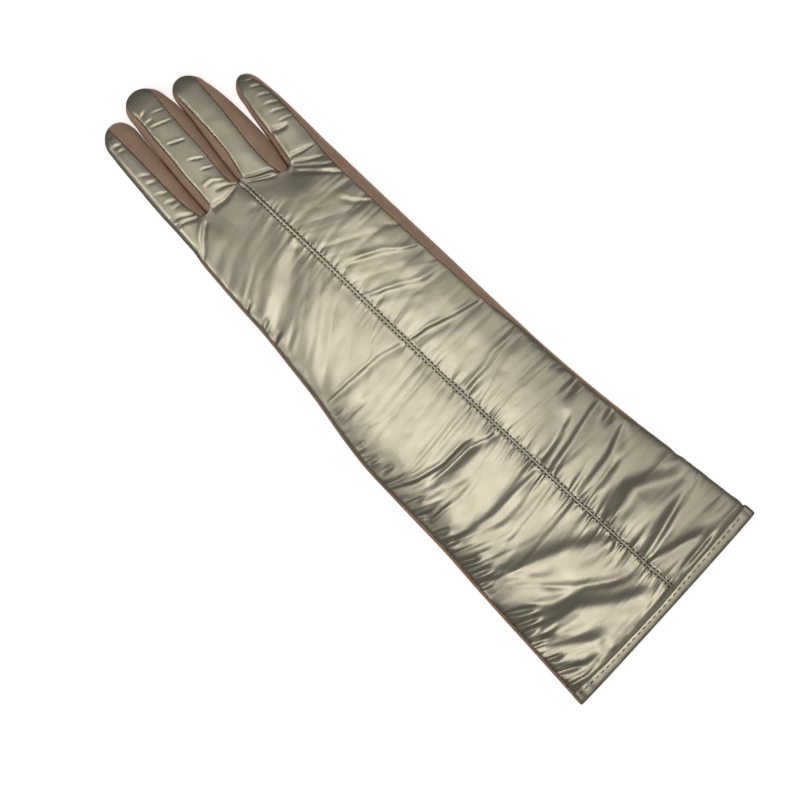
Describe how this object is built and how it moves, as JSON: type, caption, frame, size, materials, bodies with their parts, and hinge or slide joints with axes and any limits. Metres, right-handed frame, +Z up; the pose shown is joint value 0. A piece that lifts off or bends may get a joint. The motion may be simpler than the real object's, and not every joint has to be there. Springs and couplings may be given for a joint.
{
  "type": "long padded dress glove",
  "caption": "Long right-hand dress glove with a padded metallic back, suede palm and finger walls, folded thumb and open cuff, lying flat.",
  "frame": {"origin": "under the middle of the glove, on the surface it lies on", "axes": "+Y along the glove to the fingertips, +X to the little finger, +Z up from the surface through the back of the hand"},
  "size_m": [0.1624, 0.4672, 0.025],
  "materials": {
    "metallic_cloth": "satin",
    "suede": "matte",
    "thread": "matte"
  },
  "bodies": {
    "root": {"back_panel": "metallic_cloth", "palm_panel": "suede", "fourchette_index_middle": "suede", "fourchette_middle_ring": "suede", "fourchette_ring_little": "suede", "thumb": "suede", "cuff_hem_back": "metallic_cloth", "cuff_hem_palm": "suede"}
  },
  "joints": []
}
